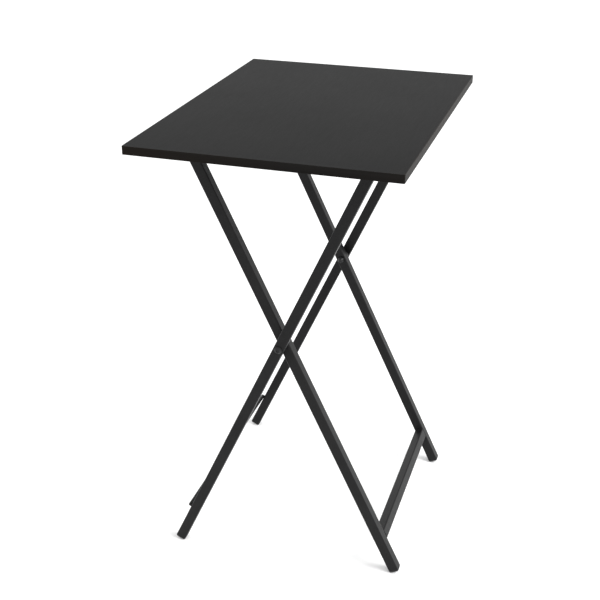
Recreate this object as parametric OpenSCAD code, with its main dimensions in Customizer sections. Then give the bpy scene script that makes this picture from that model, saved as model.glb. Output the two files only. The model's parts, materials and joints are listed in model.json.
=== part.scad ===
// Folding tray table: a flat top on two crossed leg frames.
// X runs across the top, Y along it, Z up from the floor under the middle of the table.

/* [Table top] */
// Size of the top across the table
top_w = 380; // [360:1:420]
// Size of the top along the table
top_l = 515; // [480:1:560]
// Height of the top surface above the floor
top_h = 690; // [670:1:710]
// Thickness of the whole board
board_t = 12; // [10:0.5:18]
// Thickness of each laminate sheet
laminate_t = 0.6; // [0.4:0.1:1]
// Thickness of the edge bands
band_t = 0.5; // [0.4:0.1:1]

/* [Leg frames] */
// Side of the square leg tube
tube = 16; // [14:0.5:18]
// Wall of the leg tube and of the top rails
tube_wall = 1.2; // [1:0.1:1.5]
// Outer corner radius of the leg tube
tube_r = 2; // [1.5:0.1:2.5]
// Lean of the inner legs from the vertical
inner_lean = 25.6; // [25:0.1:26]
// Lean of the outer legs from the vertical
outer_lean = 24.5; // [24:0.1:25]
// Middle of the inner leg tubes along the table
inner_y = 159.5; // [155:0.5:161]
// Middle of the outer leg tubes along the table
outer_y = 181.7; // [180:0.1:190]
// Place of the pivot across the table
pivot_x = 1.75; // [0:0.25:2]
// Height of the pivot above the floor
pivot_z = 381.5; // [375:0.5:385]

/* [Cross members] */
// Diameter of the round top rails
rail_d = 14; // [12:0.5:15]
// Depth of the rail axes under the board
rail_drop = 13; // [12.5:0.5:15]
// Distance along the leg from the stretcher's middle to the foot
stretcher_up = 62; // [40:1:100]
// Diameter of the outer frame's lower rod
rod_d = 6; // [5:0.5:10]
// Distance along the leg from the pivot to the rod
rod_down = 352; // [300:1:380]
// Length of the lower rod
rod_l = 358; // [354:1:368]

/* [End plugs] */
// Thickness of a plug's head
head_t = 4; // [3:0.5:5]
// Radius of the head's long edges
head_r = 3; // [2:0.5:3.5]
// Length of the plug inside the tube
stem_l = 12; // [8:1:20]
// Gap between the stem and the tube on each side
stem_gap = 0.1; // [0.05:0.05:0.3]
// Wall of the hollow stem
stem_wall = 1.5; // [1:0.1:2]
// Distance from the rail axis to the end of the leg top
leg_over = 9.5; // [9:0.5:10]

/* [Pivots] */
// Diameter of the bolt
bolt_d = 6; // [5:0.5:6]
// Diameter of the domed head
dome_d = 10.5; // [10:0.5:13]
// Height of the domed head
dome_h = 2.6; // [2.5:0.1:4]
// Diameter of the washer
washer_d = 12; // [12:0.2:14]
// Thickness of the washer
washer_t = 1; // [1:0.1:1.6]
// Size of the lock nut across its flats
nut_af = 10; // [8:0.5:10]
// Height of the lock nut
nut_h = 4.5; // [4:0.5:7]
// Outer diameter of the spacer between the tubes
spacer_d = 14; // [12:0.5:14.5]
// Bolt that stands out past the nut
bolt_end = 0.5; // [0.5:0.5:2]
// Radial clearance around the bolt
bolt_gap = 0.05; // [0.03:0.01:0.08]
// Face gap between parts that turn on each other
face_gap = 0.15; // [0.1:0.05:0.25]

/* [Saddles and clips] */
// Middle of the saddles and clips along the table
saddle_y = 128; // [100:1:132]
// Width of a saddle or clip along the rail
saddle_w = 26; // [20:1:30]
// Outer radius of the ring around the rail
ring_r = 10.5; // [10:0.25:11]
// Half width of the block above the ring
block_half = 9; // [8:0.5:9.5]
// Half length of the mounting flange
flange_half = 24; // [22:0.5:26]
// Thickness of the mounting flange
flange_t = 3; // [2:0.5:3.5]
// Radial clearance of the rail in the saddle
saddle_gap = 0.06; // [0.03:0.01:0.1]
// Width of the saddle's mouth
mouth_w = 10; // [8:0.5:11]
// Radial clearance of the rail in the clip
clip_gap = 0.3; // [0.2:0.1:0.5]
// Extra half width of the clip's mouth
clip_flare = 0.2; // [0.1:0.1:0.5]
// Direction in which the rail leaves the clip, from straight down
clip_tilt = 28; // [24:1:32]

/* [Screws] */
// Distance of the screws from the rail axis
screw_x = 18; // [16:0.5:19]
// Diameter of the screw shank
screw_d = 3.2; // [3:0.1:3.5]
// Length of the shank under the head
screw_l = 11; // [9:0.5:11.5]
// Diameter of the screw head
screw_head_d = 7; // [6:0.5:7.5]
// Height of the screw head
screw_head_h = 2.2; // [1.8:0.1:2.6]
// Clearance of the shank in the flange
screw_gap = 0.3; // [0.2:0.1:0.4]
// Clearance of the shank in its pilot hole
pilot_gap = 0.05; // [0.03:0.01:0.1]

/* [Hidden] */

front = -1;
rear = 1;
half = tube / 2;
tube_hole = tube - 2 * tube_wall;
under_z = top_h - board_t;
rail_z = under_z - rail_drop;
core_w = top_w - 2 * band_t;
core_l = top_l - 2 * band_t;
core_t = board_t - 2 * laminate_t;
cut = 1;

// Along a leg, from the pivot to the rail and to the end of the foot's head.
function rail_up(lean) = (rail_z - pivot_z) / cos(lean);
function foot_down(lean) = (pivot_z - (half - head_r) * sin(lean) - head_r) / cos(lean) + head_r;
// Across the table, the place of each rail.
inner_rail_x = pivot_x - (rail_z - pivot_z) * tan(inner_lean);
outer_rail_x = pivot_x + (rail_z - pivot_z) * tan(outer_lean);

// A quarter round about [x, y], which starts at the given angle.
function quarter(x, y, r, start, steps) =
    [for (i = [0 : steps]) [x + r * cos(start + 90 * i / steps), y + r * sin(start + 90 * i / steps)]];

// A square outline with four round corners.
module round_square(side, r) {
    k = side / 2 - r;
    polygon(concat(quarter(k, k, r, 0, 5), quarter(-k, k, r, 90, 5),
                   quarter(-k, -k, r, 180, 5), quarter(k, -k, r, 270, 5)));
}

// Places the children in a leaning leg: its Z runs up the leg from the pivot.
module inner_frame() { translate([pivot_x, 0, pivot_z]) rotate([0, -inner_lean, 0]) children(); }
module outer_frame() { translate([pivot_x, 0, pivot_z]) rotate([0, outer_lean, 0]) children(); }

// Extrudes an XZ outline along Y, centred on Y = 0.
module along_y(length) { rotate([90, 0, 0]) linear_extrude(length, center = true) children(); }

// A round bar along Y between two places.
module bar_y(r, y0, y1, sides = 48) {
    translate([0, y0, 0]) rotate([-90, 0, 0]) cylinder(r = r, h = y1 - y0, $fn = sides);
}

// A board piece given by its low corner and its size.
module slab(low, size) { translate(low) cube(size); }

module board_core() {
    color("saddlebrown")
    difference() {
        slab([-core_w / 2, -core_l / 2, under_z + laminate_t], [core_w, core_l, core_t]);
        screw_places(inner_rail_x) pilot_hole();
        screw_places(outer_rail_x) pilot_hole();
    }
}

module top_laminate() {
    color("dimgray") slab([-core_w / 2, -core_l / 2, top_h - laminate_t], [core_w, core_l, laminate_t]);
}

module bottom_laminate() {
    color("dimgray")
    difference() {
        slab([-core_w / 2, -core_l / 2, under_z], [core_w, core_l, laminate_t]);
        screw_places(inner_rail_x) pilot_hole();
        screw_places(outer_rail_x) pilot_hole();
    }
}

// The bands on the short edges run the full width and cover the ends of the long ones.
module end_band(side) {
    y = side == front ? -top_l / 2 : core_l / 2;
    color("black") slab([-top_w / 2, y, under_z], [top_w, band_t, board_t]);
}

module side_band(side) {
    x = side < 0 ? -top_w / 2 : core_w / 2;
    color("black") slab([x, -core_l / 2, under_z], [band_t, core_l, board_t]);
}

// The pivot bolt's bore through a leg tube.
module pivot_bore() { bar_y(bolt_d / 2 + bolt_gap, -tube, tube); }

// A leg tube from its foot plug to its top plug, with the pivot bore.
module leg(lean) {
    low = head_t - foot_down(lean);
    high = rail_up(lean) + leg_over - head_t;
    difference() {
        translate([0, 0, low]) linear_extrude(high - low) round_square(tube, tube_r);
        translate([0, 0, low - cut]) linear_extrude(high - low + 2 * cut)
            round_square(tube_hole, tube_r - tube_wall);
        pivot_bore();
    }
}

// An end plug whose head reaches down to Z = 0, with its stem above.
module plug() {
    stem = tube_hole - 2 * stem_gap;
    k = half - head_r;
    intersection() {
        along_y(tube) polygon(concat([[half, head_t], [-half, head_t]],
            quarter(-k, head_r, head_r, 180, 18), quarter(k, head_r, head_r, 270, 18)));
        linear_extrude(head_t) round_square(tube, tube_r);
    }
    translate([0, 0, head_t]) linear_extrude(stem_l) difference() {
        round_square(stem, 1);
        round_square(stem - 2 * stem_wall, 0.5);
    }
}

module foot(lean) { translate([0, 0, -foot_down(lean)]) plug(); }
module top_plug(lean) { translate([0, 0, rail_up(lean) + leg_over]) rotate([0, 180, 0]) plug(); }

module inner_leg(side) { color("#2b2b2d") inner_frame() translate([0, side * inner_y, 0]) leg(inner_lean); }
module outer_leg(side) { color("#2b2b2d") outer_frame() translate([0, side * outer_y, 0]) leg(outer_lean); }
module inner_foot(side) { color("#161616") inner_frame() translate([0, side * inner_y, 0]) foot(inner_lean); }
module outer_foot(side) { color("#161616") outer_frame() translate([0, side * outer_y, 0]) foot(outer_lean); }
module inner_plug(side) {
    color("#161616") inner_frame() translate([0, side * inner_y, 0]) top_plug(inner_lean);
}
module outer_plug(side) {
    color("#161616") outer_frame() translate([0, side * outer_y, 0]) top_plug(outer_lean);
}

// The stretcher is square to the inner legs and ends on their inner faces.
module inner_stretcher() {
    color("#2b2b2d")
    inner_frame() translate([0, 0, stretcher_up - foot_down(inner_lean)])
        along_y(2 * inner_y - tube) difference() {
            round_square(tube, tube_r);
            round_square(tube_hole, tube_r - tube_wall);
        }
}

// A round tube between the inner faces of a pair of legs.
module top_rail(lean, leg_y) {
    end = leg_y - half;
    translate([0, 0, rail_up(lean)]) difference() {
        bar_y(rail_d / 2, -end, end);
        bar_y(rail_d / 2 - tube_wall, -end - cut, end + cut);
    }
}

module inner_top_rail() { color("#2b2b2d") inner_frame() top_rail(inner_lean, inner_y); }
module outer_top_rail() { color("#2b2b2d") outer_frame() top_rail(outer_lean, outer_y); }

// The rod lies on the outer faces of the outer legs, out of the inner frame's way.
module outer_lower_rod() {
    color("#2b2b2d")
    outer_frame() translate([-half - rod_d / 2, 0, -rod_down]) bar_y(rod_d / 2, -rod_l / 2, rod_l / 2);
}

// Places the front pivot's children on the pivot axis, or mirrors them to the rear.
module pivot(side) { translate([pivot_x, 0, pivot_z]) mirror([0, side == rear ? 1 : 0, 0]) children(); }

outer_face = -outer_y - half;
head_face = outer_face - washer_t;
nut_face = -inner_y + half + face_gap;

module pivot_bolt(side) {
    dome_r = (dome_h * dome_h + dome_d * dome_d / 4) / (2 * dome_h);
    color("#202020") pivot(side) {
        bar_y(bolt_d / 2, head_face, nut_face + nut_h + bolt_end);
        intersection() {
            translate([0, head_face - dome_h + dome_r, 0]) sphere(r = dome_r, $fn = 64);
            bar_y(dome_d / 2 + cut, head_face - dome_h - cut, head_face);
        }
    }
}

module pivot_washers() {
    color("#303030") for (side = [front, rear]) pivot(side) difference() {
        bar_y(washer_d / 2, head_face, outer_face);
        bar_y(bolt_d / 2 + bolt_gap, head_face - cut, outer_face + cut);
    }
}

// The spacer turns with the outer leg and keeps a gap to the inner one.
module pivot_spacer(side) {
    y0 = -outer_y + half;
    y1 = -inner_y - half - face_gap;
    color("#181818") pivot(side) difference() {
        bar_y(spacer_d / 2, y0, y1);
        bar_y(bolt_d / 2 + bolt_gap, y0 - cut, y1 + cut);
    }
}

module pivot_nuts() {
    color("#303030") for (side = [front, rear]) pivot(side) difference() {
        bar_y(nut_af / 2 / cos(30), nut_face, nut_face + nut_h, 6);
        bar_y(bolt_d / 2 + bolt_gap, nut_face - cut, nut_face + nut_h + cut);
    }
}

// The saddle and clip outline, in X and Z about the rail axis, with its flange under the board.
module holder_outline() {
    difference() {
        union() {
            circle(r = ring_r, $fn = 48);
            translate([-block_half, 0]) square([2 * block_half, rail_drop]);
            translate([-flange_half, rail_drop - flange_t]) square([2 * flange_half, flange_t]);
        }
        children();
    }
}

// A holder under the board at a rail, with a clearance hole for each of its screws.
module holder(rail_x, side) {
    translate([rail_x, side * saddle_y, rail_z]) difference() {
        along_y(saddle_w) holder_outline() children();
        for (x = [-screw_x, screw_x]) translate([x, 0, rail_drop - flange_t - cut])
            cylinder(r = screw_d / 2 + screw_gap, h = flange_t + 2 * cut, $fn = 24);
    }
}

// The saddle holds the rail on more than half its round, so it turns on the rail and stays on it.
module hinge_saddle(side) {
    color("#1c1c1e") holder(inner_rail_x, side) {
        circle(r = rail_d / 2 + saddle_gap, $fn = 48);
        translate([-mouth_w / 2, -2 * ring_r]) square([mouth_w, 2 * ring_r]);
    }
}

// The clip is open the way the rail leaves as the top lifts.
module snap_clip(side) {
    r = rail_d / 2 + clip_gap;
    k = r + clip_flare;
    color("#1c1c1e") holder(outer_rail_x, side) {
        circle(r = r, $fn = 48);
        rotate(-clip_tilt) translate([-k, -2 * ring_r]) square([2 * k, 2 * ring_r]);
    }
}

// The places of the screws of both holders at one rail, at the flange's lower face.
module screw_places(rail_x) {
    for (side = [front, rear], x = [-screw_x, screw_x])
        translate([rail_x + x, side * saddle_y, under_z - flange_t]) children();
}

module pilot_hole() { cylinder(r = screw_d / 2 + pilot_gap, h = screw_l + pilot_gap, $fn = 24); }

module screw() {
    cylinder(r = screw_d / 2, h = screw_l, $fn = 24);
    translate([0, 0, -screw_head_h])
        cylinder(r1 = screw_head_d / 3, r2 = screw_head_d / 2, h = screw_head_h, $fn = 32);
}

module hinge_screws() { color("silver") screw_places(inner_rail_x) screw(); }
module clip_screws() { color("silver") screw_places(outer_rail_x) screw(); }

board_core();
top_laminate();
bottom_laminate();
end_band(front);  // edge_band_front
end_band(rear);  // edge_band_rear
side_band(-1);  // edge_band_left
side_band(1);  // edge_band_right
hinge_saddle(front);  // hinge_saddle_front
hinge_saddle(rear);  // hinge_saddle_rear
snap_clip(front);  // snap_clip_front
snap_clip(rear);  // snap_clip_rear
hinge_screws();
clip_screws();
inner_leg(front);  // inner_leg_front
inner_leg(rear);  // inner_leg_rear
inner_stretcher();
inner_top_rail();
inner_foot(front);  // inner_foot_front
inner_foot(rear);  // inner_foot_rear
inner_plug(front);  // inner_plug_front
inner_plug(rear);  // inner_plug_rear
outer_leg(front);  // outer_leg_front
outer_leg(rear);  // outer_leg_rear
outer_lower_rod();
outer_top_rail();
outer_foot(front);  // outer_foot_front
outer_foot(rear);  // outer_foot_rear
outer_plug(front);  // outer_plug_front
outer_plug(rear);  // outer_plug_rear
pivot_bolt(front);  // pivot_bolt_front
pivot_bolt(rear);  // pivot_bolt_rear
pivot_washers();
pivot_spacer(front);  // pivot_spacer_front
pivot_spacer(rear);  // pivot_spacer_rear
pivot_nuts();
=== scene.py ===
import json
import math

import bmesh
import bpy
from mathutils import Matrix, Vector


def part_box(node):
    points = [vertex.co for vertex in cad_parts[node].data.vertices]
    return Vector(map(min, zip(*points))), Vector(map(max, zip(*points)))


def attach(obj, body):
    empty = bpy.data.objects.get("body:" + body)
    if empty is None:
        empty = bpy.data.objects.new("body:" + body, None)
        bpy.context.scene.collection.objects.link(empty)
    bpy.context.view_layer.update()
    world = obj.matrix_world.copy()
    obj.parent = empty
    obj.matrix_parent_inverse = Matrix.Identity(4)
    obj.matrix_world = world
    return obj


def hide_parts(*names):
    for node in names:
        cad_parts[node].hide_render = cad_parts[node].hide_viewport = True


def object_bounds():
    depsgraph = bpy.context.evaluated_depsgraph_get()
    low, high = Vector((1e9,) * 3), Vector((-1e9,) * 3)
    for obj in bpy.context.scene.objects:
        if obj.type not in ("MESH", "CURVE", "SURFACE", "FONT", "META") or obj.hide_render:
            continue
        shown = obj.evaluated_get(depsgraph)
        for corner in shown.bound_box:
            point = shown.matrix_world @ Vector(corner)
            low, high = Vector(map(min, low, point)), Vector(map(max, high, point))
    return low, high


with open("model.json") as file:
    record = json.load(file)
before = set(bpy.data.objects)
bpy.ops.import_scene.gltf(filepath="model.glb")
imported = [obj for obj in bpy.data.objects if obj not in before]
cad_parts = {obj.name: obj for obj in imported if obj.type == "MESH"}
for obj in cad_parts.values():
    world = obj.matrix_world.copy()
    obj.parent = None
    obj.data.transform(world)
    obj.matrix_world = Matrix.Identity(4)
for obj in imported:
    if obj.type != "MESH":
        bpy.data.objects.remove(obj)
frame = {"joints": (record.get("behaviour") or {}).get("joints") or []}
cad_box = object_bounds()

# Folding tray table: the looks of every piece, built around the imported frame. All lengths are metres
# in the frame's own axes: X across the top, Y along it, Z up from the floor.

MM = 0.001
FRONT, REAR = -1, 1
ENDS = (("front", FRONT), ("rear", REAR))


# ---------------------------------------------------------------- places from the frame

def middle(node):
    low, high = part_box(node)
    return (low + high) / 2


def size(node):
    low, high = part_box(node)
    return high - low


joints = {j["name"]: Vector(j["pos_m"]) for j in frame["joints"]}
pivot = joints["leg_fold"]
top_low = Vector((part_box("edge_band_left")[0].x,
                  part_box("edge_band_front")[0].y,
                  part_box("bottom_laminate")[0].z))
top_high = Vector((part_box("edge_band_right")[1].x,
                   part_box("edge_band_rear")[1].y,
                   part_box("top_laminate")[1].z))
TUBE = size("inner_leg_front").y
HALF = TUBE / 2


class LegFrame:
    """One pair of legs: its slope, and places along and across its legs, measured from the pivot."""

    def __init__(self, name):
        self.name = name
        self.body = name + "_frame"
        rail = middle(name + "_top_rail")
        self.up = Vector((rail.x - pivot.x, 0, rail.z - pivot.z))
        self.rail_up = self.up.length
        self.up.normalize()
        self.across = Vector((0, 1, 0)).cross(self.up)
        self.leg_y = middle(name + "_leg_rear").y
        low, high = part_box(name + "_leg_rear")
        lean_part = HALF * abs(self.across.z)
        self.low = (low.z - pivot.z + lean_part) / self.up.z
        self.high = (high.z - pivot.z - lean_part) / self.up.z

    def matrix(self, y=0.0, along=0.0, across=0.0):
        """Leg axes: X across the leg, Y along the table, Z up the leg, from a point of the leg."""
        start = pivot + self.up * along + self.across * across
        turn = Matrix((self.across, Vector((0, 1, 0)), self.up)).transposed()
        return Matrix.Translation((start.x, y, start.z)) @ turn.to_4x4()

    def along(self, point):
        return (Vector((point.x, 0, point.z)) - Vector((pivot.x, 0, pivot.z))).dot(self.up)

    def offset(self, point):
        return (Vector((point.x, 0, point.z)) - Vector((pivot.x, 0, pivot.z))).dot(self.across)


inner = LegFrame("inner")
outer = LegFrame("outer")


# ---------------------------------------------------------------- materials

class Surface:
    """A Principled material whose patterns are laid out in the frame's metres."""

    def __init__(self, name, **sockets):
        self.material = bpy.data.materials.new(name)
        self.material.use_nodes = True
        self.tree = self.material.node_tree
        self.shader = self.tree.nodes["Principled BSDF"]
        self.place = self.tree.nodes.new("ShaderNodeTexCoord").outputs["Object"]
        self.height = None
        for socket, value in sockets.items():
            self.shader.inputs[socket.replace("_", " ")].default_value = value

    def node(self, kind, inputs=(), **settings):
        made = self.tree.nodes.new(kind)
        for key, value in settings.items():
            setattr(made, key, value)
        for key, value in dict(inputs).items():
            if isinstance(value, bpy.types.NodeSocket):
                self.tree.links.new(value, made.inputs[key])
            else:
                made.inputs[key].default_value = value
        return made

    def stretched(self, x, y, z):
        return self.node("ShaderNodeMapping", {"Vector": self.place, "Scale": (x, y, z)}).outputs[0]

    def noise(self, scale, detail=3.0, roughness=0.5, place=None):
        inputs = {"Vector": place or self.place, "Scale": scale, "Detail": detail, "Roughness": roughness}
        return self.node("ShaderNodeTexNoise", inputs).outputs["Fac"]

    def cells(self, scale, place=None):
        inputs = {"Vector": place or self.place, "Scale": scale}
        return self.node("ShaderNodeTexVoronoi", inputs).outputs["Distance"]

    def spread(self, value, low, high, out_low=0.0, out_high=1.0):
        inputs = {0: value, 1: low, 2: high, 3: out_low, 4: out_high}
        return self.node("ShaderNodeMapRange", inputs).outputs[0]

    def times(self, a, b):
        return self.node("ShaderNodeMath", {0: a, 1: b}, operation="MULTIPLY").outputs[0]

    def plus(self, a, b):
        return self.node("ShaderNodeMath", {0: a, 1: b}, operation="ADD").outputs[0]

    def mix(self, factor, a, b):
        made = self.node("ShaderNodeMix", data_type="RGBA")
        for socket, value in ((0, factor), (6, a), (7, b)):
            if isinstance(value, bpy.types.NodeSocket):
                self.tree.links.new(value, made.inputs[socket])
            else:
                made.inputs[socket].default_value = value
        return made.outputs[2]

    def grey(self, factor, low, high, tint=(1.0, 1.0, 1.0)):
        dark = tuple(low * c for c in tint) + (1.0,)
        light = tuple(high * c for c in tint) + (1.0,)
        return self.mix(factor, dark, light)

    def height_at(self, z_full, z_none):
        """1 at z_full and 0 at z_none, for what changes with height."""
        split = self.node("ShaderNodeSeparateXYZ", {0: self.place})
        return self.spread(split.outputs["Z"], z_none, z_full)

    def colour(self, value):
        self.tree.links.new(value, self.shader.inputs["Base Color"])

    def roughness(self, value):
        self.tree.links.new(value, self.shader.inputs["Roughness"])

    def bump(self, value, distance, strength=1.0):
        inputs = {"Height": value, "Distance": distance, "Strength": strength}
        if self.height is not None:
            inputs["Normal"] = self.height
        self.height = self.node("ShaderNodeBump", inputs).outputs[0]
        self.tree.links.new(self.height, self.shader.inputs["Normal"])


def powder_coat():
    """Satin black powder coat: orange peel, a fine grain, rubbed spots near the feet, thin level scuffs."""
    bare = (0.042, 0.042, 0.044, 1.0)
    worn_height = 0.10
    s = Surface("powder_coat", Specular_IOR_Level=0.15)
    peel = s.noise(720, 3.0, 0.6)
    grain = s.noise(2600, 2.0)
    cloud = s.noise(24, 4.0, 0.6)
    rubs = s.spread(s.noise(210, 6.0, 0.75), 0.60, 0.70)
    worn = s.times(rubs, s.height_at(0.0, worn_height))
    scuffs = s.spread(s.noise(1.0, 5.0, 0.8, s.stretched(60, 60, 900)), 0.70, 0.78)
    mottle = s.plus(s.times(cloud, 0.45), s.times(peel, 0.55))
    coat = s.grey(s.spread(mottle, 0.36, 0.64), 0.0038, 0.0094, (1.0, 1.0, 1.04))
    s.colour(s.mix(s.plus(s.times(worn, 0.5), s.times(scuffs, 0.25)), coat, bare))
    rough = s.spread(s.plus(mottle, s.times(grain, 0.5)), 0.50, 1.00, 0.32, 0.52)
    s.roughness(s.plus(rough, s.times(worn, 0.14)))
    s.bump(peel, 0.00022, 0.6)
    s.bump(grain, 0.00003, 0.5)
    return s.material


def laminate(name, light):
    """Charcoal laminate: a fine pebbled face with a faint drawn grain along the table."""
    dust_grey = (0.024, 0.024, 0.0245, 1.0)
    s = Surface(name, Specular_IOR_Level=0.030)
    pebble = s.cells(1500)
    fine = s.noise(2600, 3.0)
    drawn = s.noise(1.0, 4.0, 0.6, s.stretched(420, 26, 420))
    cloud = s.noise(7.0, 3.0, 0.55)
    dust = s.spread(s.noise(900, 2.0, 0.4), 0.70, 0.80)
    shade = s.plus(s.times(cloud, 0.30), s.plus(s.times(drawn, 0.40), s.times(fine, 0.30)))
    body = s.grey(s.spread(shade, 0.35, 0.75), light * 0.86, light * 1.14)
    s.colour(s.mix(s.times(dust, 0.2), body, dust_grey))
    sheen = s.plus(s.times(cloud, 0.25), s.plus(s.times(drawn, 0.4), s.times(pebble, 0.35)))
    s.roughness(s.spread(sheen, 0.25, 0.75, 0.40, 0.50))
    s.bump(pebble, 0.000022, 0.5)
    s.bump(drawn, 0.000012, 0.35)
    return s.material


def edge_band():
    """Dark band with fine grain lines along the edge, a painted highlight that makes it lighter towards the
    top, and brown in places.
    """
    brown = (0.0066, 0.0045, 0.0030, 1.0)
    s = Surface("edge_band", Specular_IOR_Level=0.07)
    lines = s.noise(1.0, 5.0, 0.65, s.stretched(9, 9, 1300))
    spots = s.noise(700, 2.0)
    warm = s.noise(3.0, 2.0)
    # Painted highlight: rise makes the band's colour lighter towards its top edge, as light from above
    # falls there; it is mixed into the grain lines' tone below.
    rise = s.height_at(top_high.z, top_low.z)
    shade = s.plus(s.times(s.spread(lines, 0.3, 0.7), 0.6), s.times(rise, 0.4))
    base = s.grey(shade, 0.0008, 0.0088)
    s.colour(s.mix(s.spread(warm, 0.40, 0.60, 0.1, 0.95), base, brown))
    s.roughness(s.spread(s.plus(lines, s.times(spots, 0.4)), 0.4, 1.0, 0.42, 0.58))
    s.bump(lines, 0.00003, 0.5)
    s.bump(spots, 0.00001, 0.4)
    return s.material


def moulded(name, low, high, coarse):
    """Moulded plastic: a spark-eroded texture with slightly shinier patches."""
    s = Surface(name, Specular_IOR_Level=0.30)
    pits = s.cells(coarse)
    fine = s.noise(coarse * 2.2, 2.0)
    cloud = s.noise(60, 3.0)
    s.colour(s.grey(s.spread(s.plus(cloud, s.times(fine, 0.3)), 0.4, 0.9), low, high))
    s.roughness(s.spread(s.plus(cloud, s.times(pits, 0.5)), 0.3, 1.0, 0.42, 0.62))
    s.bump(pits, 0.00008, 0.6)
    s.bump(fine, 0.00003, 0.5)
    return s.material


def black_steel():
    """Black coated steel with a fine grain and paler rub marks."""
    coated = (0.0055, 0.0055, 0.0060, 1.0)
    rubbed = (0.050, 0.050, 0.052, 1.0)
    s = Surface("black_steel", Specular_IOR_Level=0.32)
    fine = s.noise(1800, 3.0)
    rubs = s.spread(s.noise(420, 5.0, 0.7), 0.60, 0.72)
    s.colour(s.mix(s.times(rubs, 0.3), coated, rubbed))
    s.roughness(s.spread(fine, 0.3, 0.7, 0.26, 0.40))
    s.bump(fine, 0.00001, 0.5)
    return s.material


def zinc():
    """Zinc plate: blue and yellowish clouds of passivation, and a fine spangle."""
    blue = (0.50, 0.52, 0.56, 1.0)
    yellow = (0.66, 0.65, 0.60, 1.0)
    s = Surface("zinc_plate", Metallic=1.0)
    cloud = s.noise(300, 4.0, 0.6)
    spangle = s.cells(2400)
    fine = s.noise(3500, 2.0)
    s.colour(s.mix(s.spread(cloud, 0.3, 0.7), blue, yellow))
    s.roughness(s.spread(s.plus(fine, s.times(spangle, 0.5)), 0.3, 1.0, 0.24, 0.42))
    s.bump(spangle, 0.000012, 0.5)
    return s.material


def fibreboard():
    """Raw fibreboard: brown fibres pressed flat."""
    dark = (0.20, 0.12, 0.06, 1.0)
    light = (0.42, 0.29, 0.17, 1.0)
    s = Surface("fibreboard", Specular_IOR_Level=0.15)
    fibres = s.noise(1.0, 5.0, 0.7, s.stretched(700, 700, 2200))
    lumps = s.noise(260, 4.0, 0.6)
    s.colour(s.mix(s.spread(s.plus(fibres, lumps), 0.7, 1.3), dark, light))
    s.roughness(s.spread(lumps, 0.3, 0.7, 0.72, 0.90))
    s.bump(fibres, 0.00008, 0.6)
    return s.material


COAT = powder_coat()
TOP = laminate("top_laminate_face", 0.0052)
UNDER = laminate("under_laminate_face", 0.009)
BAND = edge_band()
PLUG = moulded("plug_plastic", 0.0080, 0.0130, 1500)
NYLON = moulded("holder_plastic", 0.0100, 0.0160, 1100)
BLACK = black_steel()
ZINC = zinc()
CORE = fibreboard()


# ---------------------------------------------------------------- mesh tools

SHARP_FROM = math.radians(30)
SAME_SPOT = 1e-6
ON_AXIS = 1e-9
ROUND_Y = Matrix.Rotation(math.radians(-90), 4, "X")


def place_piece(name, mesh, material, body, slot, *nodes):
    """The finished piece: smooth faces, sharp true edges, and what it rides on and replaces."""
    piece = bpy.data.objects.new(name, mesh)
    bpy.context.scene.collection.objects.link(piece)
    mesh.materials.clear()
    mesh.materials.append(material)
    mesh.shade_smooth()
    mesh.set_sharp_from_angle(angle=SHARP_FROM)
    normals = piece.modifiers.new("normals", "WEIGHTED_NORMAL")
    normals.keep_sharp = True
    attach(piece, body)
    if nodes:
        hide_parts(*nodes)
    return piece


def to_mesh(name, bm, matrix=None):
    """Turns a bmesh into a mesh, with its faces outward, and puts it in place."""
    bmesh.ops.recalc_face_normals(bm, faces=bm.faces)
    mesh = bpy.data.meshes.new(name)
    bm.to_mesh(mesh)
    bm.free()
    if matrix is not None:
        mesh.transform(matrix)
    return mesh


def joined(name, meshes):
    """One mesh from several, each already in place."""
    bm = bmesh.new()
    for mesh in meshes:
        bm.from_mesh(mesh)
    made = bpy.data.meshes.new(name)
    bm.to_mesh(made)
    bm.free()
    return made


def combined(mesh, tool, operation):
    """The solid that the mesh becomes with the tool cut from it (DIFFERENCE) or added to it (UNION)."""
    a = bpy.data.objects.new("solid", mesh)
    b = bpy.data.objects.new("tool", tool)
    for o in (a, b):
        bpy.context.scene.collection.objects.link(o)
    cut = a.modifiers.new("cut", "BOOLEAN")
    cut.operation = operation
    cut.solver = "EXACT"
    cut.object = b
    ready = a.evaluated_get(bpy.context.evaluated_depsgraph_get())
    made = bpy.data.meshes.new_from_object(ready)
    made.name = mesh.name
    for o in (a, b):
        bpy.data.objects.remove(o)
    return made


def arc(cx, cy, radius, start, end, steps):
    """Points on an arc, in degrees."""
    angles = [math.radians(start + (end - start) * i / steps) for i in range(steps + 1)]
    return [(cx + radius * math.cos(a), cy + radius * math.sin(a)) for a in angles]


def box_outline(half_x, half_y, radius, steps=6):
    """A rectangle with round corners, anticlockwise."""
    kx, ky = half_x - radius, half_y - radius
    return (arc(kx, ky, radius, 0, 90, steps) + arc(-kx, ky, radius, 90, 180, steps)
            + arc(-kx, -ky, radius, 180, 270, steps) + arc(kx, -ky, radius, 270, 360, steps))


def stacked(rings, closed_loop=False):
    """A closed skin through rings of equal count: capped at both ends, or joined last to first."""
    bm = bmesh.new()
    rows = [[bm.verts.new(p) for p in ring] for ring in rings]
    pairs = list(zip(rows, rows[1:]))
    if closed_loop:
        pairs.append((rows[-1], rows[0]))
    for a, b in pairs:
        for i in range(len(a)):
            j = (i + 1) % len(a)
            bm.faces.new((a[i], a[j], b[j], b[i]))
    if not closed_loop:
        bm.faces.new(reversed(rows[0]))
        bm.faces.new(rows[-1])
    return bm


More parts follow.
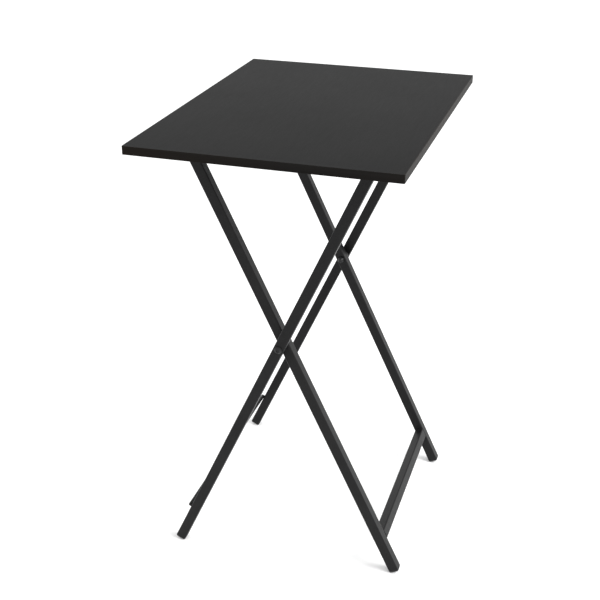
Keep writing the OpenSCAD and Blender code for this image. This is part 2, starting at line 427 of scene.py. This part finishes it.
def lathe(profile, steps=64):
    """A turned solid about Z. The profile is (radius, height) from axis to axis, or a closed ring."""
    on_axis = profile[0][0] < ON_AXIS
    bm = bmesh.new()
    rows = []
    for radius, height in profile:
        if radius < ON_AXIS:
            rows.append([bm.verts.new((0, 0, height))])
            continue
        turns = [2 * math.pi * i / steps for i in range(steps)]
        rows.append([bm.verts.new((radius * math.cos(t), radius * math.sin(t), height)) for t in turns])
    pairs = list(zip(rows, rows[1:]))
    if not on_axis:
        pairs.append((rows[-1], rows[0]))
    for a, b in pairs:
        for i in range(steps):
            j = (i + 1) % steps
            if len(a) == 1:
                bm.faces.new((a[0], b[j], b[i]))
            elif len(b) == 1:
                bm.faces.new((a[i], a[j], b[0]))
            else:
                bm.faces.new((a[i], a[j], b[j], b[i]))
    return bm


def plate(name, loops, depth, rim, matrix=None):
    """A flat plate about Z = 0 with a round rim. The first outline is its outside, the rest are holes."""
    curve = bpy.data.curves.new(name, "CURVE")
    curve.dimensions = "2D"
    curve.fill_mode = "BOTH"
    curve.extrude = depth / 2 - rim
    curve.bevel_depth = rim
    curve.bevel_resolution = 2
    curve.offset = -rim
    for loop in loops:
        spline = curve.splines.new("POLY")
        spline.points.add(len(loop) - 1)
        for point, (x, y) in zip(spline.points, loop):
            point.co = (x, y, 0, 1)
        spline.use_cyclic_u = True
    holder = bpy.data.objects.new(name, curve)
    bpy.context.scene.collection.objects.link(holder)
    ready = holder.evaluated_get(bpy.context.evaluated_depsgraph_get())
    mesh = bpy.data.meshes.new_from_object(ready)
    bpy.data.objects.remove(holder)
    bm = bmesh.new()
    bm.from_mesh(mesh)
    bmesh.ops.remove_doubles(bm, verts=bm.verts, dist=SAME_SPOT)
    return to_mesh(name, bm, matrix)


def swept(path, radius_at, sides=10, ring=False):
    """A tube along a path of points, open or closed in a ring, with its radius at each point."""
    rings = []
    count = len(path)
    normal = None
    for i, point in enumerate(path):
        after = path[(i + 1) % count] if ring else path[min(i + 1, count - 1)]
        before = path[i - 1] if ring or i else path[0]
        ahead = (after - before).normalized()
        if normal is None:
            normal = ahead.orthogonal().normalized()
        normal = (normal - ahead * normal.dot(ahead)).normalized()
        side = ahead.cross(normal)
        r = radius_at(i)
        turns = [2 * math.pi * k / sides for k in range(sides)]
        rings.append([point + (normal * math.cos(t) + side * math.sin(t)) * r for t in turns])
    return stacked(rings, closed_loop=ring)


# ---------------------------------------------------------------- weld beads

BEAD_R = 1.25 * MM
BEAD_STEP = 0.23 * MM
RIPPLE = 1.15 * MM
RIPPLE_STEPS = 5
RIPPLE_RISE = 0.16
UNEVEN = 0.03
UNEVEN_RATE = 2100.0
TAPER = 1.6 * BEAD_R
THINNEST = 0.04


def bead_radius(distance, length, ring):
    """Scalloped ripples, tapering at the ends of an open bead."""
    wave = (distance / RIPPLE) % 1.0
    ripple = 1.0 + RIPPLE_RISE * math.sin(math.pi * wave) + UNEVEN * math.sin(distance * UNEVEN_RATE)
    if ring:
        return BEAD_R * ripple
    end = min(distance, length - distance) / TAPER
    return BEAD_R * ripple * math.sqrt(max(THINNEST, min(1.0, end)))


def straight_bead(start, end):
    length = (end - start).length
    count = max(8, round(length / BEAD_STEP))
    path = [start.lerp(end, i / count) for i in range(count + 1)]
    return swept(path, lambda i: bead_radius(length * i / count, length, False))


def ring_bead(radius):
    """A bead around Z at Z = 0."""
    length = 2 * math.pi * radius
    count = RIPPLE_STEPS * round(length / RIPPLE)
    turns = [2 * math.pi * i / count for i in range(count)]
    path = [Vector((radius * math.cos(t), radius * math.sin(t), 0)) for t in turns]
    places = [RIPPLE * (i % RIPPLE_STEPS) / RIPPLE_STEPS for i in range(count)]
    return swept(path, lambda i: bead_radius(places[i], length, True), ring=True)


# ---------------------------------------------------------------- table top

CORNER = 2.0 * MM
CORNER_STEPS = 8
BAND_T = 1.0 * MM
BAND_STEPS = 12
EASE = 0.35 * MM
SKIN_RIM = 0.12 * MM
SCREW_R = 1.6 * MM
SCREW_HEAD_R = 3.5 * MM
PILOT_R = 1.65 * MM

skin_half = Vector((top_high.x - BAND_T, top_high.y - BAND_T))
rail_x = {name: middle(f"{name}_top_rail").x for name in ("inner", "outer")}
holder_y = middle("hinge_saddle_rear").y
screw_reach = size("hinge_screws").x / 2 - SCREW_HEAD_R


def screw_spots(x):
    """The four screws of a pair of holders on the rail at x."""
    reaches = (-screw_reach, screw_reach)
    return [Vector((x + reach, side * holder_y)) for side in (FRONT, REAR) for reach in reaches]


def screw_hole(x, y, radius):
    """A round hole's outline, 24 points."""
    return [(x + dx, y + dy) for dx, dy in arc(0, 0, radius, 345, 0, 23)]


def skin(name, node, material, holes):
    """A layer of the board with rounded corners, and holes where screws pass."""
    low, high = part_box(node)
    loops = [box_outline(skin_half.x, skin_half.y, CORNER - BAND_T)]
    if holes:
        for spot in screw_spots(rail_x["inner"]) + screw_spots(rail_x["outer"]):
            loops.append(screw_hole(spot.x, spot.y, PILOT_R))
    rim = min(SKIN_RIM, (high.z - low.z) / 3)
    mesh = plate(name, loops, high.z - low.z, rim, Matrix.Translation((0, 0, (low.z + high.z) / 2)))
    slot = "board_core" if node == "board_core" else "laminate"
    return place_piece(name, mesh, material, "tabletop", slot, node)


def band_section():
    """The band's cut face: depth inward, and height, with eased outer edges."""
    low, high = top_low.z, top_high.z
    outside = [(EASE - x, low + EASE - y) for x, y in arc(0, 0, EASE, 90, 0, 4)]
    outside += [(EASE - x, high - EASE + y) for x, y in arc(0, 0, EASE, 0, 90, 4)]
    return [(BAND_T, low)] + outside + [(BAND_T, high)]


def band(name, node, path):
    """A band that follows a path of (point, outward direction) round the edge."""
    section = band_section()
    rings = [[(p.x - n.x * d, p.y - n.y * d, z) for d, z in section] for p, n in path]
    mesh = to_mesh(name, stacked(rings))
    return place_piece(name, mesh, BAND, "tabletop", "edge_band", node)


def end_band_path(side):
    """Across the end of the table and round both of its corners."""
    kx, ky = top_high.x - CORNER, top_high.y - CORNER
    path = []
    for x, start in ((-kx, 180), (kx, 270)):
        for i in range(CORNER_STEPS + 1):
            turn = math.radians(start + 90 * i / CORNER_STEPS)
            out = Vector((math.cos(turn), math.sin(turn)))
            path.append((Vector((x, -ky)) + out * CORNER, out))
    if side == REAR:
        path = [(Vector((-p.x, -p.y)), Vector((-n.x, -n.y))) for p, n in path]
    return path


def side_band_path(side):
    """Along the table between the two end bands."""
    out = Vector((side, 0))
    reach = top_high.y - CORNER
    ys = [side * (-reach + 2 * reach * i / BAND_STEPS) for i in range(BAND_STEPS + 1)]
    return [(Vector((side * top_high.x, y)), out) for y in ys]


skin("top_sheet", "top_laminate", TOP, holes=False)
skin("under_sheet", "bottom_laminate", UNDER, holes=True)
skin("board_middle", "board_core", CORE, holes=True)
for label, side in ENDS:
    band(f"end_band_{label}", f"edge_band_{label}", end_band_path(side))
for label, side in (("left", -1), ("right", 1)):
    band(f"side_band_{label}", f"edge_band_{label}", side_band_path(side))


# ---------------------------------------------------------------- leg frames

TUBE_R = 2.0 * MM
WALL = 1.2 * MM
BORE_R = 3.05 * MM
WELD_IN = 0.5 * MM


def square_tube(name, low, high, matrix, bored):
    """A hollow square tube along Z. A bored one has the pivot's bore across it along Y."""
    lip = 0.25 * MM
    outside = box_outline(HALF, HALF, TUBE_R)
    lipped = box_outline(HALF - lip, HALF - lip, TUBE_R - lip)
    inside = box_outline(HALF - WALL, HALF - WALL, TUBE_R - WALL)
    outlines = [(lipped, low), (outside, low + lip), (outside, high - lip), (lipped, high)]
    outlines += [(inside, high), (inside, low)]
    rings = [[(x, y, z) for x, y in outline] for outline, z in outlines]
    mesh = to_mesh(name, stacked(rings, closed_loop=True))
    if bored:
        drill = lathe([(0, -TUBE), (BORE_R, -TUBE), (BORE_R, TUBE), (0, TUBE)], 48)
        mesh = combined(mesh, to_mesh("drill", drill, ROUND_Y), "DIFFERENCE")
    mesh.transform(matrix)
    return mesh


HEAD_T = 4.0 * MM
HEAD_R = 3.0 * MM
HEAD_STEPS = 8
STEM = 12.0 * MM
STEM_TAPER = 1.5 * MM


def plug_mesh(name, matrix):
    """An end plug: its head hangs below Z = 0 with a rounded end, and its tapered stem stands above."""
    seam = 0.2 * MM
    rings = [(HALF - seam, TUBE_R - seam, 0.0), (HALF, TUBE_R, -seam)]
    for i in range(HEAD_STEPS + 1):
        turn = math.radians(90 * i / HEAD_STEPS)
        inset = HEAD_R * (1 - math.cos(turn))
        drop = HEAD_T - HEAD_R + HEAD_R * math.sin(turn)
        rings.append((HALF - inset, TUBE_R + 0.35 * inset, -drop))
    head = [[(x, y, z) for x, y in box_outline(h, h, r)] for h, r, z in rings]
    parts = [to_mesh(name, stacked(head))]
    stem_half = HALF - WALL - 0.1 * MM
    stem = [(stem_half, 0.0), (stem_half, STEM - STEM_TAPER), (stem_half - 0.8 * MM, STEM)]
    stem_rings = [[(x, y, z) for x, y in box_outline(h, h, 1.0 * MM)] for h, z in stem]
    parts.append(to_mesh("stem", stacked(stem_rings)))
    mesh = joined(name, parts)
    mesh.transform(matrix)
    return mesh


def leg_set(legs):
    """Both legs of a frame with their four plugs."""
    turned = Matrix.Rotation(math.pi, 4, "Y")
    for label, side in ENDS:
        y = side * legs.leg_y
        name = f"{legs.name}_leg_{label}"
        tube = square_tube(name, legs.low, legs.high, legs.matrix(y), bored=True)
        place_piece(f"{legs.name}_tube_{label}", tube, COAT, legs.body, "frame_metal", name)
        foot = plug_mesh("foot", legs.matrix(y, legs.low))
        place_piece(f"{legs.name}_foot_cap_{label}", foot, PLUG, legs.body, "moulded_plastic",
                    f"{legs.name}_foot_{label}")
        cap = plug_mesh("cap", legs.matrix(y, legs.high) @ turned)
        place_piece(f"{legs.name}_top_cap_{label}", cap, PLUG, legs.body, "moulded_plastic",
                    f"{legs.name}_plug_{label}")


def top_rail(legs):
    """A round tube between the legs, with a weld all round at each end."""
    node = f"{legs.name}_top_rail"
    radius, length = size(node).x / 2, size(node).y
    chamfer = 0.2 * MM
    outside = [(radius - chamfer, -length / 2), (radius, -length / 2 + chamfer)]
    outside += [(r, -z) for r, z in reversed(outside)]
    profile = outside + [(radius - WALL, length / 2), (radius - WALL, -length / 2)]
    at = legs.matrix(0, legs.rail_up)
    place_piece(f"{legs.name}_rail", to_mesh(node, lathe(profile, 72), at @ ROUND_Y), COAT, legs.body,
                "frame_metal", node)
    beads = []
    for side in (FRONT, REAR):
        spot = Matrix.Translation((0, side * (length / 2 - WELD_IN), 0))
        beads.append(to_mesh("bead", ring_bead(radius + 0.25 * MM), at @ spot @ ROUND_Y))
    place_piece(f"{legs.name}_rail_welds", joined("welds", beads), COAT, legs.body, "frame_metal")


def stretcher():
    """The square tube low between the inner legs, welded on two of its sides."""
    node = "inner_stretcher"
    length = size(node).y
    at = inner.matrix(0, inner.along(middle(node)))
    tube = square_tube(node, -length / 2, length / 2, at @ ROUND_Y, bored=False)
    place_piece("inner_crossbar", tube, COAT, "inner_frame", "frame_metal", node)
    beads = []
    for side in (FRONT, REAR):
        y = side * (length / 2 - WELD_IN)
        for edge in (-1, 1):
            z = edge * (HALF + 0.2 * MM)
            reach = HALF - WALL
            beads.append(to_mesh("bead", straight_bead(Vector((-reach, y, z)), Vector((reach, y, z))), at))
    place_piece("inner_crossbar_welds", joined("welds", beads), COAT, "inner_frame", "frame_metal")


def lower_rod():
    """The round rod on the outer legs' outer faces, with a weld on each side of it."""
    node = "outer_lower_rod"
    radius, length = size(node).x / 2, size(node).y
    ease = 0.9 * MM
    end = [(radius - ease + x, length / 2 - ease + z) for x, z in arc(0, 0, ease, 0, 90, 5)]
    profile = [(0, -length / 2)] + [(r, -z) for r, z in reversed(end)] + end + [(0, length / 2)]
    spot = middle(node)
    at = outer.matrix(0, outer.along(spot), outer.offset(spot))
    place_piece("outer_rod", to_mesh(node, lathe(profile, 48), at @ ROUND_Y), COAT, "outer_frame",
                "frame_metal", node)
    beads = []
    valley = radius - 0.7 * MM
    for side in (FRONT, REAR):
        near = side * (outer.leg_y - HALF + 1.2 * MM)
        far = side * (length / 2 - 0.8 * MM)
        for edge in (-1, 1):
            z = edge * (radius - 0.5 * MM)
            bead = straight_bead(Vector((valley, near, z)), Vector((valley, far, z)))
            beads.append(to_mesh("bead", bead, at))
    place_piece("outer_rod_welds", joined("welds", beads), COAT, "outer_frame", "frame_metal")


leg_set(inner)
leg_set(outer)
top_rail(inner)
top_rail(outer)
stretcher()
lower_rod()


# ---------------------------------------------------------------- pivots

SHANK_R = 3.0 * MM
BOLT_END = 0.5 * MM


def pivot_place(side, y):
    """Z along the pivot axis towards this side of the table, from y on that side."""
    outward = Matrix.Rotation(math.radians(-90 * side), 4, "X")
    return Matrix.Translation((pivot.x, side * y, pivot.z)) @ outward


def chamfered_ring(inner_r, outer_r, height, ease):
    """The profile of a washer or a spacer."""
    return [(inner_r + ease, 0), (outer_r - ease, 0), (outer_r, ease), (outer_r, height - ease),
            (outer_r - ease, height), (inner_r + ease, height), (inner_r, height - ease), (inner_r, ease)]


def dome_profile(radius, height, shank_r, shank_end):
    """A bolt's profile from the shank's end up to the dome, which stands on a narrow upright rim."""
    rim = 0.5 * MM
    ease = 0.25 * MM
    chamfer = 0.5 * MM
    rise = height - rim
    ball = (rise * rise + radius * radius) / (2 * rise)
    spread = math.degrees(math.asin(radius / ball))
    profile = [(0, -shank_end), (shank_r - chamfer, -shank_end), (shank_r, chamfer - shank_end)]
    profile += [(shank_r, 0), (radius - ease, 0), (radius, ease)]
    profile += [(x, rim + y) for x, y in arc(0, rise - ball, ball, 90 - spread, 90, 14)[:-1]]
    return profile + [(0, height)]


def hex_socket(top):
    """The cutter for a hexagon socket in the top of the dome."""
    corner, deep = 2.6 * MM, 1.9 * MM
    tip_r, tip = 0.15 * MM, 0.6 * MM
    turns = [math.pi * i / 3 for i in range(6)]
    rings = []
    for z, r in ((top - deep - tip, tip_r), (top - deep, corner), (top + MM, corner)):
        rings.append([(r * math.cos(t), r * math.sin(t), z) for t in turns])
    return to_mesh("socket", stacked(rings))


def nut_mesh(at):
    """A lock nut: a chamfered hexagon with a round collar over its nylon ring."""
    flats = size("pivot_nuts").z / 2
    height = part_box("pivot_nuts")[1].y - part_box("pivot_bolt_rear")[0].y - BOLT_END
    hexagon = 0.72 * height
    corner = flats / math.cos(math.radians(30))
    turns = [2 * math.pi * i / 72 for i in range(72)]
    rows = [(0.0, flats * 0.97), (0.6 * MM, corner), (hexagon - 0.7 * MM, corner), (hexagon, flats * 0.97),
            (hexagon + 0.05 * MM, flats * 0.90), (height - 0.8 * MM, flats * 0.88), (height, flats * 0.74)]
    rings = []
    for z, limit in rows:
        ring = []
        for turn in turns:
            bend = (math.degrees(turn) + 30) % 60 - 30
            r = min(limit, flats / math.cos(math.radians(bend)))
            ring.append((r * math.cos(turn), r * math.sin(turn), z))
        rings.append(ring)
    for z in (height, 0.0):
        rings.append([(BORE_R * math.cos(turn), BORE_R * math.sin(turn), z) for turn in turns])
    return to_mesh("nut", stacked(rings, closed_loop=True), at)


def pivots():
    """Bolt, washer, spacer and lock nut on each side; the bolts turn with the outer legs."""
    head_low, head_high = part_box("pivot_bolt_rear")
    washer_y = outer.leg_y + HALF
    washer_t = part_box("pivot_washers")[1].y - washer_y
    head_y = washer_y + washer_t
    dome_r = (head_high.x - head_low.x) / 2
    dome_h = head_high.y - head_y
    nut_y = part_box("pivot_nuts")[1].y
    washers, nuts = [], []
    for label, side in ENDS:
        profile = dome_profile(dome_r, dome_h, SHANK_R, head_y - head_low.y)
        bolt = combined(to_mesh("bolt", lathe(profile)), hex_socket(dome_h), "DIFFERENCE")
        bolt.transform(pivot_place(side, head_y))
        place_piece(f"dome_bolt_{label}", bolt, BLACK, "outer_frame", "black_steel", f"pivot_bolt_{label}")
        ring = chamfered_ring(BORE_R, size("pivot_washers").x / 2, washer_t, 0.2 * MM)
        washers.append(to_mesh("washer", lathe(ring), pivot_place(side, washer_y)))
        spacer_node = f"pivot_spacer_{label}"
        spacer = chamfered_ring(BORE_R, size(spacer_node).x / 2, size(spacer_node).y, 0.5 * MM)
        start = abs(middle(spacer_node).y) - size(spacer_node).y / 2
        place_piece(f"spacer_{label}", to_mesh("spacer", lathe(spacer), pivot_place(side, start)), NYLON,
                    "outer_frame", "moulded_plastic", spacer_node)
        nuts.append(nut_mesh(pivot_place(-side, -nut_y)))
    place_piece("washers", joined("washers", washers), BLACK, "outer_frame", "black_steel", "pivot_washers")
    place_piece("lock_nuts", joined("nuts", nuts), BLACK, "outer_frame", "black_steel", "pivot_nuts")


pivots()


# ---------------------------------------------------------------- saddles, clips and their screws

RING_R = 10.5 * MM
BLOCK = 9.0 * MM
FLANGE_T = 3.0 * MM
FLANGE_CORNER = 5.0 * MM
LIP = 0.8 * MM
RIM = 0.5 * MM
SADDLE_BORE = 7.06 * MM
SADDLE_MOUTH = 5.0 * MM
CLIP_BORE = 7.3 * MM
CLIP_FLARE = 0.2 * MM
CLIP_TILT = 28
rail_drop = top_low.z - middle("inner_top_rail").z
holder_w = size("hinge_saddle_rear").y
flange_half = size("hinge_saddle_rear").x / 2
block_top = rail_drop - FLANGE_T / 2
UPRIGHT = Matrix.Rotation(math.radians(90), 4, "X")


def softened(points, radius, steps=5):
    """Rounds the sharp corners of an outline and leaves its arcs alone."""
    sharp = math.radians(25)
    made = []
    count = len(points)
    for i, point in enumerate(points):
        p = Vector(point)
        before, after = Vector(points[i - 1]), Vector(points[(i + 1) % count])
        a, b = before - p, after - p
        bend = math.pi - a.angle(b)
        if bend < sharp:
            made.append(tuple(p))
            continue
        reach = min(radius * math.tan(bend / 2), a.length * 0.45, b.length * 0.45)
        start, end = p + a.normalized() * reach, p + b.normalized() * reach
        for k in range(steps + 1):
            t = k / steps
            q = start * (1 - t) ** 2 + p * 2 * t * (1 - t) + end * t * t
            made.append(tuple(q))
    return made


def ring_angle(x, radius):
    """Where a ring of this radius is at x, in degrees above the X axis."""
    return math.degrees(math.acos(x / radius))


def saddle_outline():
    """The hinge saddle: a ring with a narrow mouth below, so that it stays on the rail."""
    block = ring_angle(BLOCK, RING_R)
    outer_lip = ring_angle(SADDLE_MOUTH, RING_R)
    inner_lip = ring_angle(SADDLE_MOUTH, SADDLE_BORE)
    right = [(BLOCK, block_top)] + arc(0, 0, RING_R, block, -outer_lip, 22)
    over = arc(0, 0, SADDLE_BORE, -inner_lip, 180 + inner_lip, 56)
    left = arc(0, 0, RING_R, 180 + outer_lip, 180 - block, 22) + [(-BLOCK, block_top)]
    return softened(right + over + left, LIP)


def clip_outline():
    """The snap clip: its mouth opens the way the rail leaves when the top lifts."""
    down = -90 - CLIP_TILT
    block = ring_angle(BLOCK, RING_R)
    grip = math.degrees(math.asin((CLIP_BORE + CLIP_FLARE) / RING_R))
    right = [(BLOCK, block_top)] + arc(0, 0, RING_R, block, down + grip, 20)
    over = arc(0, 0, CLIP_BORE, down + 90, down + 270, 40)
    left = arc(0, 0, RING_R, down + 360 - grip, 180 - block, 6) + [(-BLOCK, block_top)]
    return softened(right + over + left, LIP)


def gusset(side, y):
    """A small rib between the block and the flange."""
    thick, rim = 2.4 * MM, 0.3 * MM
    root = side * (BLOCK - 1.0 * MM)
    tip = side * (BLOCK + 4.3 * MM)
    corners = [(root, block_top), (tip, block_top)]
    corners += [(tip, rail_drop - FLANGE_T - 0.6 * MM), (root, 2.5 * MM)]
    if side < 0:
        corners.reverse()
    return plate("rib", [corners], thick, rim, Matrix.Translation((0, y, 0)) @ UPRIGHT)


def holder(name, node, rail, outline):
    """A moulded holder: flange, ring and ribs in one."""
    hole_r = SCREW_R + 0.3 * MM
    flange = [box_outline(flange_half, holder_w / 2, FLANGE_CORNER, 8)]
    for x in (-screw_reach, screw_reach):
        flange.append(screw_hole(x, 0, hole_r))
    mesh = plate("flange", flange, FLANGE_T, RIM, Matrix.Translation((0, 0, block_top)))
    mesh = combined(mesh, plate("ring", [outline], holder_w, RIM, UPRIGHT), "UNION")
    for side in (-1, 1):
        for y in (-holder_w / 4, holder_w / 4):
            mesh = combined(mesh, gusset(side, y), "UNION")
    mesh.transform(Matrix.Translation((rail_x[rail], middle(node).y, top_low.z - rail_drop)))
    return place_piece(name, mesh, NYLON, "tabletop", "moulded_plastic", node)


def screw_mesh():
    """A pan-head wood screw that points up, with its head's seat at Z = 0 and a cross recess."""
    height, length = 2.2 * MM, 11.0 * MM
    slot_half, slot_wide, slot_deep = 1.75 * MM, 0.42 * MM, 1.25 * MM
    dome = [(0, -height), (1.4 * MM, -height + 0.04 * MM), (2.3 * MM, -height + 0.22 * MM),
            (3.0 * MM, -height + 0.62 * MM), (3.35 * MM, -height + 1.1 * MM), (SCREW_HEAD_R, -0.5 * MM),
            (SCREW_HEAD_R, -0.1 * MM), (SCREW_HEAD_R - 0.1 * MM, 0)]
    core = SCREW_R * 0.72
    threads, first, pitch = 7, 2.2 * MM, 1.0 * MM
    shank = [(SCREW_R, 0), (SCREW_R, 1.8 * MM)]
    for i in range(threads):
        z = first + i * pitch
        shank += [(core, z), (core, z + 0.35 * MM), (SCREW_R, z + 0.6 * MM)]
    shank += [(core, length - 1.4 * MM), (0, length)]
    body = to_mesh("screw", lathe(dome + shank, 40))
    above = -height - MM
    for turn in (0, 90):
        low = [(slot_half, slot_wide, above), (-slot_half, slot_wide, above),
               (-slot_half, -slot_wide, above), (slot_half, -slot_wide, above)]
        high = [(x * 0.45, y * 0.8, -height + slot_deep) for x, y, z in low]
        cutter = to_mesh("cross", stacked([low, high]), Matrix.Rotation(math.radians(turn), 4, "Z"))
        body = combined(body, cutter, "DIFFERENCE")
    return body


def screws(name, node, x):
    """The four screws of a pair of holders, each driven home at its own angle."""
    first, step = 23, 37
    meshes = []
    for i, spot in enumerate(screw_spots(x)):
        copy = screw.copy()
        turn = Matrix.Rotation(math.radians(first + step * i), 4, "Z")
        copy.transform(Matrix.Translation((spot.x, spot.y, top_low.z - FLANGE_T)) @ turn)
        meshes.append(copy)
    place_piece(name, joined(name, meshes), ZINC, "tabletop", "zinc_steel", node)


screw = screw_mesh()
for label in ("front", "rear"):
    holder(f"saddle_{label}", f"hinge_saddle_{label}", "inner", saddle_outline())
    holder(f"clip_{label}", f"snap_clip_{label}", "outer", clip_outline())
screws("saddle_screws", "hinge_screws", rail_x["inner"])
screws("clip_fixing_screws", "clip_screws", rail_x["outer"])


# ---------------------------------------------------------------- stage, light and camera

def surround():
    """Even white light from all round."""
    world = bpy.data.worlds.new("surround")
    world.use_nodes = True
    background = world.node_tree.nodes["Background"]
    background.inputs["Color"].default_value = (1.0, 1.0, 1.0, 1.0)
    background.inputs["Strength"].default_value = 1.2
    bpy.context.scene.world = world
    bpy.context.scene.view_settings.view_transform = "Standard"


def pale_floor():
    """A plain round floor, its face at Z = 0."""
    radius, depth, steps = 12.0, 0.02, 64
    turns = [2 * math.pi * i / steps for i in range(steps)]
    rings = [[(radius * math.cos(t), radius * math.sin(t), z) for t in turns] for z in (-depth, 0.0)]
    mesh = to_mesh("floor", stacked(rings))
    pale = Surface("pale_floor", Roughness=0.9, Specular_IOR_Level=0.0)
    pale.shader.inputs["Base Color"].default_value = (0.92, 0.92, 0.92, 1.0)
    mesh.materials.append(pale.material)
    floor = bpy.data.objects.new("floor", mesh)
    bpy.context.scene.collection.objects.link(floor)


def key_light():
    """One large soft light, high on the right."""
    place = Vector((2.4, -0.3, 2.4))
    aim = Vector((0, 0, 0.35))
    light = bpy.data.lights.new("key", "AREA")
    light.shape = "DISK"
    light.size = 2.2
    light.energy = 95.0
    lamp = bpy.data.objects.new("key", light)
    lamp.location = place
    lamp.rotation_euler = (aim - place).to_track_quat("-Z", "Y").to_euler()
    bpy.context.scene.collection.objects.link(lamp)


def photo_camera():
    """The camera at the photograph's viewing angle."""
    turn, rise, roll = math.radians(17.41), math.radians(25.91), math.radians(0.07)
    distance = 1.7131
    off_centre = Vector((-0.0246, 0.0, 0.0255))
    aim = (cad_box[0] + cad_box[1]) / 2 + off_centre
    back = Vector((math.sin(turn) * math.cos(rise), -math.cos(turn) * math.cos(rise), math.sin(rise)))
    data = bpy.data.cameras.new("camera")
    data.lens = 63.97
    data.sensor_width = 36.0
    camera = bpy.data.objects.new("camera", data)
    look = (-back).to_track_quat("-Z", "Y").to_matrix().to_4x4()
    camera.matrix_world = Matrix.Translation(aim + back * distance) @ look @ Matrix.Rotation(roll, 4, "Z")
    bpy.context.scene.collection.objects.link(camera)
    bpy.context.scene.camera = camera


surround()
pale_floor()
key_light()
photo_camera()
